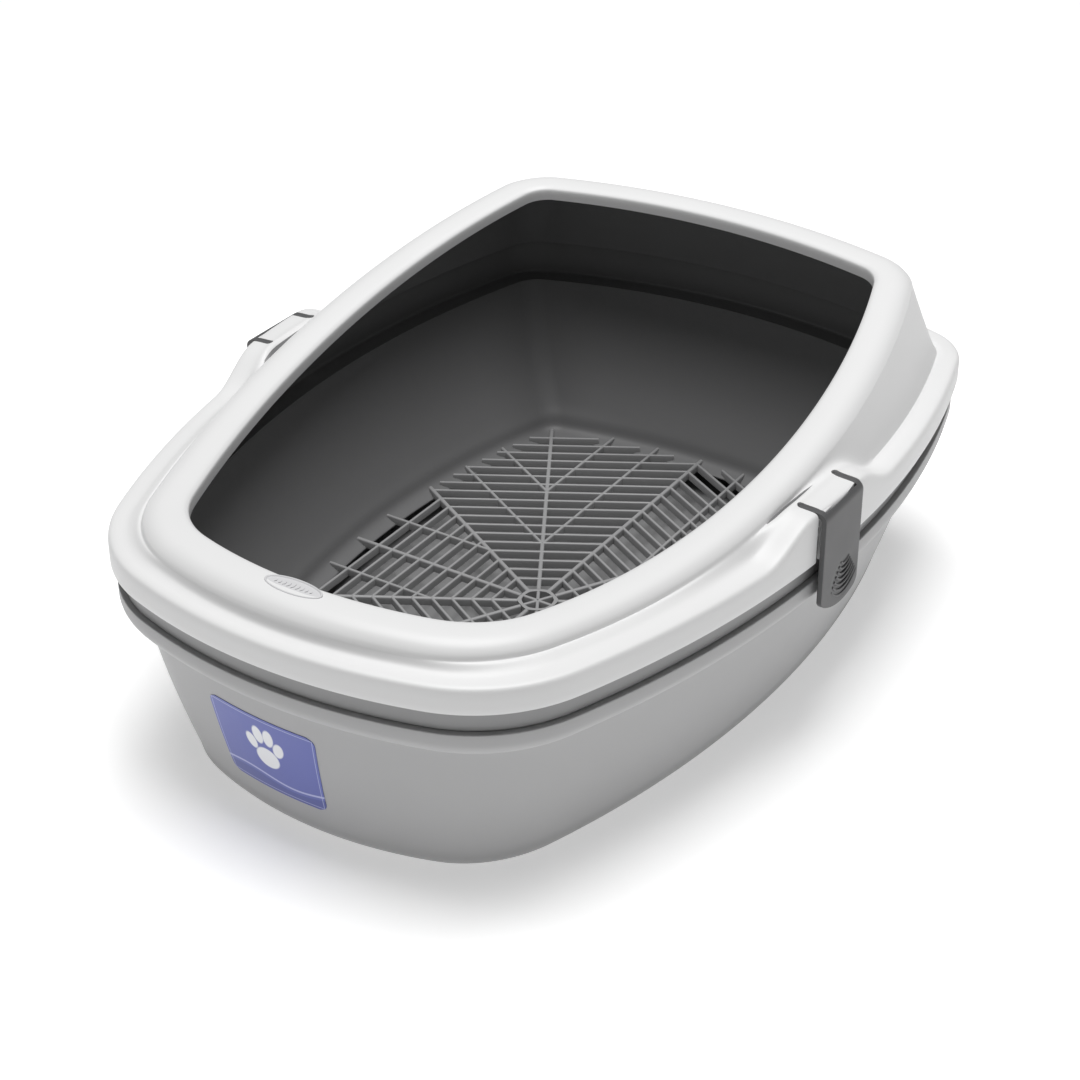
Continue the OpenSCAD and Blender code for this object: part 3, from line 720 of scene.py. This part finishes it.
def slot_cutter(side):
    """Clearance for a clip: two arm slots with round ends and the plate's own space, round the tab."""
    outer_w, tab_w = CLIP_W / 2 + 0.45, CLIP_W / 2 - ARM_W - 0.45
    tab_x, far = CLIP_X - CLIP_T - 0.45, CLIP_X + 30
    mid = (outer_w + tab_w) / 2
    hw = (outer_w - tab_w) / 2
    pts = [(far, -outer_w)]
    pts += [(NOTCH_X + hw - hw * math.sin(a), -mid - hw * math.cos(a)) for a in np.linspace(0, math.pi, 13)]
    pts += [(tab_x + 0.5 - 0.9 * (s / tab_w) ** 2, s) for s in np.linspace(-tab_w, tab_w, 15)]
    pts += [(NOTCH_X + hw - hw * math.sin(a), mid - hw * math.cos(a)) for a in np.linspace(0, math.pi, 13)]
    pts += [(far, outer_w)]
    verts = [(side * x, y + CLIP_Y, z) for z in (SKIRT_Z - 8, CLIP_TOP + 20) for x, y in pts]
    return new_mesh("slot_cutter", verts, tube_faces(len(pts)), smooth=False)


def two_finishes(obj, second):
    """Marks the faces that take a piece's second finish; second gets a face's middle, normal and number."""
    while len(obj.data.materials) < 2:
        obj.data.materials.append(rim_white)
    for p in obj.data.polygons:
        p.material_index = int(bool(second(np.array(p.center) / MM, np.array(p.normal), p.index)))


def make_hood():
    outer = curve_rings([ledge(0, -4), ledge(0.9, -1.3), ledge(3.6, 0),
                         ledge(LEDGE_W - 4, 0.6), ledge(LEDGE_W + 0.2, 2.2, 0.96),
                         blend(ledge(LEDGE_W + 2, 7, 0.8), lip(LIP_W, -9), 0.5),
                         lip(LIP_W - 0.2, -6), lip(LIP_W - 1.4, -2.8), lip(LIP_W - 5.5, 0.9), lip(LIP_W - 12.5, 2.9),
                         lip(5, 2.2), lip(1.2, 0.6), lip(0, -1.5), lip(0, -LIP_H)], 3)
    inner = curve_rings([lip(SHELL, -LIP_H), lip(SHELL, -3), lip(6, -SHELL + 0.6), lip(LIP_W - 13, 3 - SHELL),
                         lip(LIP_W - 8, 0.6 - SHELL), lip(LIP_W - 2 - SHELL, -5.4), lip(LIP_W - SHELL, -8.5),
                         blend(ledge(LEDGE_W + 2 + SHELL, 6, 0.8), lip(LIP_W - SHELL, -10.5), 0.5),
                         ledge(LEDGE_W + 1 + SHELL, 2.4, 0.9), ledge(LEDGE_W - 0.4 + SHELL, -0.4, 0.98),
                         ledge(LEDGE_W - 3, 0.8 - SHELL), ledge(SHELL + 1, -SHELL), ledge(SHELL, -SHELL - 2)], 2)
    hem = [ledge(SHELL, -SKIRT_H, 0)]
    middle = [blend(ledge(0, -SKIRT_H, 0), ledge(0, -4), s) for s in (0.04, 0.35, 0.7)]
    start = [ledge(0.5, -SKIRT_H, 0), ledge(0.12, -SKIRT_H + 0.15, 0)]
    rings = start + middle + outer + inner + hem
    for r in rings:
        r[:, 2] = np.minimum(r[:, 2], rim_high[2])
    obj = skin("hood_shell", rings, True)
    # the inner side of the wall, from behind the lip's edge down to the hem, takes the darker sieve grey: painted
    # shade inside the white shell
    from_ring, to_ring = len(start + middle + outer) + 1, len(rings) - 5
    two_finishes(obj, lambda at, facing, k: from_ring <= k // len(rings[0]) < to_ring)
    for side in (-1, 1):
        carve(obj, slot_cutter(side))
    obj.data.shade_smooth()
    return finish_piece(crisp(obj, 42), (rim_white, sieve_grey), "hood", "rim_white", "hood_rim")


def make_tab_block(side):
    """Bearing block under the tab that carries the hinge stubs."""
    w, drop = CLIP_W / 2 - ARM_W - GAP, 1.1
    r = HINGE_IN - CLIP_T - GAP - 0.2
    arc = [(HINGE_X + r * math.cos(a), HINGE_Z + r * math.sin(a)) for a in np.linspace(-math.pi / 2, math.pi / 2, 17)]
    arc = [(x, min(z, CLIP_TOP - drop)) for x, z in arc]
    prof = [(NOTCH_X, HINGE_Z - r)] + arc + [(NOTCH_X, CLIP_TOP - drop)]
    verts = [(side * x, y + CLIP_Y, z) for y in (-w, w) for x, z in prof]
    name = "tab_block_" + ("right" if side > 0 else "left")
    obj = soften(new_mesh(name, verts, tube_faces(len(prof))), 0.3)
    return finish_piece(obj, rim_white, "hood", "rim_white", "mount_" + ("right" if side > 0 else "left"))


def make_plaque():
    """Oval plaque: raised border, sunk field and a plain embossed motif."""
    low, high = (np.array(v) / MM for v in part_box("hood_plaque"))
    a, b = (high[0] - low[0]) / 2, (high[1] - low[1]) / 2
    cy, top, n = (high[1] + low[1]) / 2, high[2], 96
    t = np.linspace(0, 2 * math.pi, n, endpoint=False)

    def at(inset, z):
        return np.stack([(a - inset) * np.cos(t), cy + (b - inset) * np.sin(t), np.full(n, z)], 1)

    rings = [at(0, low[2]), at(0, top - 0.7), at(0.25, top - 0.35), at(0.7, top - 0.2), at(1.1, top - 0.35),
             at(1.5, top - 0.9), at(2.4, top - 0.95), at(4.0, top - 0.85), at(5.6, top - 0.8)]
    obj = skin("front_plaque", rings, False)
    for k in range(-4, 5):
        # row of leaning lozenges, tallest in the middle
        x, s = k * 3.1, 1.0 - abs(k) * 0.13
        pts = [(-0.9, 0), (0, -2.3 * s), (0.9, 0), (0, 2.3 * s)]
        verts = [(x + px * 0.8 + py * 0.25, cy + py, z) for z in (top - 1.0, top - 0.35) for px, py in pts]
        faces = [(0, 1, 5, 4), (1, 2, 6, 5), (2, 3, 7, 6), (3, 0, 4, 7), (4, 5, 6, 7), (3, 2, 1, 0)]
        merge(obj, new_mesh("lozenge", verts, faces))
    return finish_piece(crisp(obj, 50), plaque_grey, "hood", "plaque_white", "hood_plaque")


# ------------------------------------------------------------------ clips
def grip_tree():
    """Grip: nested smile-shaped ridges, each a step wider and lower than the last."""
    tree = bpy.data.node_groups.new("grip ridges", "GeometryNodeTree")
    face = tree.interface
    face.new_socket("Seed", in_out="INPUT", socket_type="NodeSocketGeometry")
    for key, kind, v in (("Ridges", "NodeSocketInt", 7), ("First radius", "NodeSocketFloat", 0.0072),
                         ("Radius step", "NodeSocketFloat", 0.0024), ("Drop", "NodeSocketFloat", 0.0036),
                         ("Ridge radius", "NodeSocketFloat", 0.0009)):
        face.new_socket(key, in_out="INPUT", socket_type=kind).default_value = v
    face.new_socket("Finish", in_out="INPUT", socket_type="NodeSocketMaterial")
    face.new_socket("Grip", in_out="OUTPUT", socket_type="NodeSocketGeometry")
    given = node(tree, "NodeGroupInput")
    seed, ridges, first, step, drop, thick, finish = given[:7]
    index = node(tree, "GeometryNodeInputIndex")[0]
    line = node(tree, "GeometryNodeMeshLine", {}, Count=ridges)[0]
    radius = first + index * step
    # each arc hangs from its centre; the lowest point steps down by the drop
    at = node(tree, "ShaderNodeCombineXYZ", {}, 0.0, radius - index * drop, 0.0)[0]
    line = node(tree, "GeometryNodeSetPosition", {}, Geometry=line, Position=at)[0]
    arc = node(tree, "GeometryNodeCurveArc", {"mode": "RADIUS"}, Resolution=20, Radius=1.0,
               Start_Angle=math.radians(-142), Sweep_Angle=math.radians(104))[0]
    size = node(tree, "ShaderNodeCombineXYZ", {}, radius, radius, radius)[0]
    arcs = node(tree, "GeometryNodeInstanceOnPoints", {}, Points=line, Instance=arc, Scale=size)[0]
    arcs = node(tree, "GeometryNodeRealizeInstances", {}, Geometry=arcs)[0]
    rim = node(tree, "GeometryNodeCurvePrimitiveCircle", {"mode": "RADIUS"}, Resolution=10, Radius=thick)[0]
    tube = node(tree, "GeometryNodeCurveToMesh", {}, Curve=arcs, Profile_Curve=rim, Fill_Caps=True)[0]
    tube = node(tree, "GeometryNodeRealizeInstances", {}, Geometry=tube)[0]
    tube = node(tree, "GeometryNodeSetMaterial", {}, Geometry=tube, Material=finish)[0]
    node(tree, "NodeGroupOutput", {}, tube)
    return tree


def make_clip(side, ridges):
    half, top_r, thick, arm_in = CLIP_W / 2, 6.0, CLIP_T, CLIP_W / 2 - ARM_W
    cx, cz = CLIP_X - top_r, CLIP_TOP - top_r
    path = [(CLIP_X, z) for z in CLIP_BASE + 5 * (1 - np.cos(np.linspace(0, math.pi / 2, 10)))]
    path += [(CLIP_X, z) for z in np.linspace(CLIP_BASE + 5, cz, 36)[1:]]
    path += [(cx + top_r * math.cos(a), cz + top_r * math.sin(a)) for a in np.linspace(0, math.pi / 2, 13)[1:]]
    path += [(x, CLIP_TOP) for x in np.linspace(cx, HINGE_X - 3.6, 8)[1:]]
    cols = [-half, -half + 2, -arm_in] + list(np.linspace(-arm_in, arm_in, 25)[1:-1]) + [arm_in, half - 2, half]
    verts, keep = [], []
    for k, (x, z) in enumerate(path):
        rise = z - CLIP_BASE
        w = half if rise >= 5 else half - 5 + math.sqrt(max(0.0, 25 - (5 - rise) ** 2))
        for y in cols:
            yy = y * w / half
            dip = 0.0
            if x == CLIP_X and rise < 36:
                u, v = (yy - GRIP_Y) / 18.5, (rise - 17.5) / 15.0
                dip = 0.9 * max(0.0, 1 - u * u - v * v) ** 0.7
            zz = z
            if rise < TONGUE:
                low = 1.0 + (yy - GRIP_Y) ** 2 / 92.0
                zz = CLIP_BASE + low + rise * (TONGUE - low) / TONGUE
            verts.append((side * (x - dip), yy + CLIP_Y, zz))
    m, faces = len(cols), []
    gap_from = next(k for k, (x, z) in enumerate(path) if x < CLIP_X - 2.2 and z > cz)
    for k in range(len(path) - 1):
        for i in range(m - 1):
            mid = (cols[i] + cols[i + 1]) / 2
            if k >= gap_from and abs(mid) < arm_in:
                continue
            a = k * m + i
            faces.append((a, a + 1, a + m + 1, a + m) if side > 0 else (a, a + m, a + m + 1, a + 1))
    mesh = bpy.data.meshes.new("clip")
    mesh.from_pydata([tuple(c * MM for c in v) for v in verts], [], faces)
    bm = bmesh.new()
    bm.from_mesh(mesh)
    bmesh.ops.delete(bm, geom=[v for v in bm.verts if not v.link_faces], context="VERTS")
    bm.to_mesh(mesh)
    bm.free()
    name = "clip_" + ("right" if side > 0 else "left") + "_moulding"
    obj = bpy.data.objects.new(name, mesh)
    bpy.context.scene.collection.objects.link(obj)
    mod = obj.modifiers.new("wall", "SOLIDIFY")
    mod.thickness, mod.offset, mod.use_even_offset = thick * MM, -1.0, True
    bake(obj)
    soften(obj, 0.7, 3, 50)

    # hook under the pan's band, and the two hinge stubs
    hx, hz = HOOK_X, CLIP_BASE + HOOK_RISE
    prof = [(hx, hz + 0.8), (hx + 0.8, hz), (CLIP_X - 1.6, hz + 0.2), (CLIP_X - 1.6, hz + 3.0), (hx + 1.0, hz + 3.0),
            (hx, hz + 2.2)]
    hook_w = half - 14
    ends = [(side * x, y + CLIP_Y, z) for y in (-hook_w, hook_w) for x, z in prof]
    merge(obj, new_mesh("hook", ends, tube_faces(len(prof))))
    for s in (-1, 1):
        t = np.linspace(0, 2 * math.pi, 24, endpoint=False)
        ends = [np.stack([side * (HINGE_X + STUB_R * np.cos(t)), 0 * t + CLIP_Y + s * y,
                          HINGE_Z + STUB_R * np.sin(t)], 1)
                for y in (arm_in + 0.8, arm_in - 7)]
        merge(obj, skin("stub", ends, False))

    # grip ridges stand in the shallow dish at the lower middle of the plate
    grip = bpy.data.objects.new("grip", bpy.data.meshes.new("grip"))
    bpy.context.scene.collection.objects.link(grip)
    drive(grip, ridges, {"Finish": clip_grey})
    low_z = (CLIP_BASE + 27.6) * MM
    x = (CLIP_X - 0.5) * MM
    turn = Matrix(((0, 0, side * 0.9, side * x), (1, 0, 0, (CLIP_Y + GRIP_Y) * MM), (0, 1, 0, low_z), (0, 0, 0, 1)))
    grip.data.transform(turn)
    bm = bmesh.new()
    bm.from_mesh(grip.data)
    bmesh.ops.recalc_face_normals(bm, faces=bm.faces)
    bm.to_mesh(grip.data)
    bm.free()
    merge(obj, grip)
    obj.data.shade_smooth()
    crisp(obj, 50)
    part = "clip_right" if side > 0 else "clip_left"
    return finish_piece(obj, clip_grey, part, "clip_grey", part)


make_pan()
make_label()
make_basket()
make_web()
make_hood()
make_plaque()
ridges = grip_tree()
for side in (-1, 1):
    make_tab_block(side)
    make_clip(side, ridges)


# ------------------------------------------------------------------ floor, light and camera
def flat_finish(name, colour, rough, glow=0.0):
    mat = bpy.data.materials.new(name)
    mat.use_nodes = True
    bsdf = mat.node_tree.nodes["Principled BSDF"]
    bsdf.inputs["Base Color"].default_value = colour
    bsdf.inputs["Roughness"].default_value = rough
    bsdf.inputs["Emission Color"].default_value = (1, 1, 1, 1)
    bsdf.inputs["Emission Strength"].default_value = glow
    return mat


floor_mesh = bpy.data.meshes.new("floor")
floor_mesh.from_pydata([(-40, -40, 0), (40, -40, 0), (40, 40, 0), (-40, 40, 0)], [], [(0, 1, 2, 3)])
floor = bpy.data.objects.new("floor", floor_mesh)
bpy.context.scene.collection.objects.link(floor)
floor_mesh.materials.append(flat_finish("floor paint", (0.93, 0.93, 0.93, 1), 0.9, 0.36))


def lamp(name, power, size, place, aim=(0, 0, 0.1)):
    light = bpy.data.lights.new(name, "AREA")
    light.energy, light.shape, light.size, light.size_y = power, "RECTANGLE", size[0], size[1]
    obj = bpy.data.objects.new(name, light)
    obj.location = place
    obj.rotation_mode = "QUATERNION"
    obj.rotation_quaternion = (Vector(aim) - Vector(place)).to_track_quat("-Z", "Y")
    bpy.context.scene.collection.objects.link(obj)
    return obj


lamp("top light", 67, (1.6, 1.6), (0.0, 0.05, 2.6))
lamp("back light", 1, (2.0, 1.2), (1.6, 1.7, 1.0))
lamp("front fill", 2, (2.0, 1.4), (-1.4, -2.0, 0.9))

world = bpy.context.scene.world or bpy.data.worlds.new("studio")
bpy.context.scene.world = world
world.use_nodes = True
world.node_tree.nodes["Background"].inputs[0].default_value = (1, 1, 1, 1)
world.node_tree.nodes["Background"].inputs[1].default_value = 0.15
bpy.context.scene.view_settings.view_transform = "Standard"

cam = bpy.data.cameras.new("camera")
cam.lens, cam.sensor_width = 76.155, 36
cam.shift_x, cam.shift_y = -0.00155, -0.08467
eye = bpy.data.objects.new("camera", cam)
bpy.context.scene.collection.objects.link(eye)
az, el = math.radians(32.5407), math.radians(29.2982)
back = Vector((math.sin(az) * math.cos(el), -math.cos(az) * math.cos(el), math.sin(el)))
eye.location = Vector((0, 0, 0.1421)) + back * 1.48937
eye.rotation_mode = "QUATERNION"
eye.rotation_quaternion = (-back).to_track_quat("-Z", "Y")
bpy.context.scene.camera = eye
